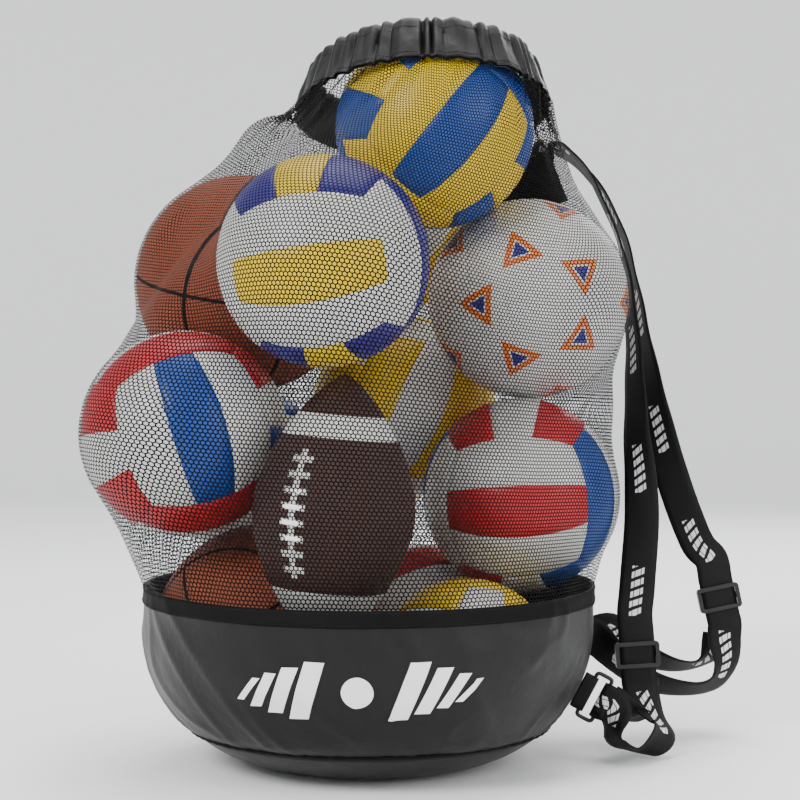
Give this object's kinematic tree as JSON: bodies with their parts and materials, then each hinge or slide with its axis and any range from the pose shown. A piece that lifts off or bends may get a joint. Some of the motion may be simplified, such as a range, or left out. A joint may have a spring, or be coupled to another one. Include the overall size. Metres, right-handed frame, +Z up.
{
  "type": "mesh ball bag",
  "caption": "Drawstring mesh ball bag with a solid lower skirt and two shoulder straps, filled with volleyballs, basketballs, a soccer ball and an american football.",
  "frame": {"origin": "centre of the underside, where the bag stands on the floor, on the axis of its round base", "axes": "+Z up towards the mouth, -Y towards the printed front, +X towards the side on which the shoulder straps hang"},
  "size_m": [0.7151, 0.5671, 0.7726],
  "materials": {
    "satin_nylon": "black satin woven nylon",
    "binding_tape": "black woven binding tape",
    "knitted_net": "black knitted hexagonal net",
    "webbing": "black woven webbing with a small white repeated print",
    "cord": "black braided cord",
    "moulded_plastic": "black moulded plastic",
    "spring_steel": "plain wire",
    "volleyball": "panels in white, blue, red and yellow",
    "soccer": "white panels with orange and navy triangles",
    "basketball": "pebbled orange-brown with black channels",
    "small_ball": "white and yellow panels",
    "football": "pebbled dark brown with white stripes and laces"
  },
  "bodies": {
    "bag": {"volleyball_top": "volleyball", "volleyball_front": "volleyball", "volleyball_left": "volleyball", "volleyball_right": "volleyball", "volleyball_middle": "volleyball", "soccer_ball_front": "soccer", "basketball_upper": "basketball", "basketball_lower": "basketball", "small_ball_back": "small_ball", "small_ball_left": "small_ball", "small_ball_lower": "small_ball", "small_ball_right": "small_ball", "american_football": "football", "base_panel": "satin_nylon", "skirt_front": "satin_nylon", "skirt_back": "satin_nylon", "mouth_casing": "satin_nylon", "base_piping": "binding_tape", "skirt_top_tape": "binding_tape", "net_front": "knitted_net", "net_back": "knitted_net", "strap_tab_1": "webbing", "strap_tab_2": "webbing", "strap_patch": "webbing", "drawcord": "cord", "cord_knot": "cord"},
    "strap_1": {"shoulder_strap_1": "webbing"},
    "strap_2": {"shoulder_strap_2": "webbing"},
    "slider_1": {"strap_slider_1": "moulded_plastic"},
    "slider_2": {"strap_slider_2": "moulded_plastic"},
    "ring_1": {"strap_ring_1": "moulded_plastic"},
    "ring_2": {"strap_ring_2": "moulded_plastic"},
    "cord_lock": {"cord_lock_body": "moulded_plastic", "cord_lock_spring": "spring_steel"},
    "lock_button": {"cord_lock_button": "moulded_plastic"}
  },
  "joints": [
    {"name": "strap_1_swing", "type": "hinge", "parent": "bag", "child": "strap_1", "pos_m": [0.244, -0.0256, 0.0646], "axis": [-0.0979, 0.271, 0.9576], "range_deg": [-6, 6]},
    {"name": "strap_2_swing", "type": "hinge", "parent": "bag", "child": "strap_2", "pos_m": [0.2358, 0.115, 0.115], "axis": [-0.1535, 0.1083, 0.9822], "range_deg": [-9, 9]},
    {"name": "slider_1_slide", "type": "slide", "parent": "strap_1", "child": "slider_1", "axis": [-0.0597, 0.0796, 0.995], "range_m": [-0.015, 0.03]},
    {"name": "slider_2_slide", "type": "slide", "parent": "strap_2", "child": "slider_2", "axis": [-0.2003, 0.0801, 0.9765], "range_m": [-0.012, 0.015]},
    {"name": "ring_1_flap", "type": "hinge", "parent": "bag", "child": "ring_1", "pos_m": [0.2281, -0.024, 0.0729], "axis": [-0.4595, 0.0483, -0.8868], "range_deg": [-2.5, 2.5]},
    {"name": "ring_2_flap", "type": "hinge", "parent": "bag", "child": "ring_2", "pos_m": [0.2199, 0.1073, 0.1181], "axis": [-0.155, -0.0756, -0.985], "range_deg": [-3, 3]},
    {"name": "cord_lock_slide", "type": "slide", "parent": "bag", "child": "cord_lock", "axis": [0, 0.9563, -0.2924], "range_m": [0, 0.012]},
    {"name": "button_press", "type": "slide", "parent": "cord_lock", "child": "lock_button", "axis": [0, 0.2924, 0.9563], "range_m": [-0.0045, 0], "stiffness_N_per_m": 300, "springref_m": 0.001, "deforming": ["cord_lock_spring"]}
  ]
}
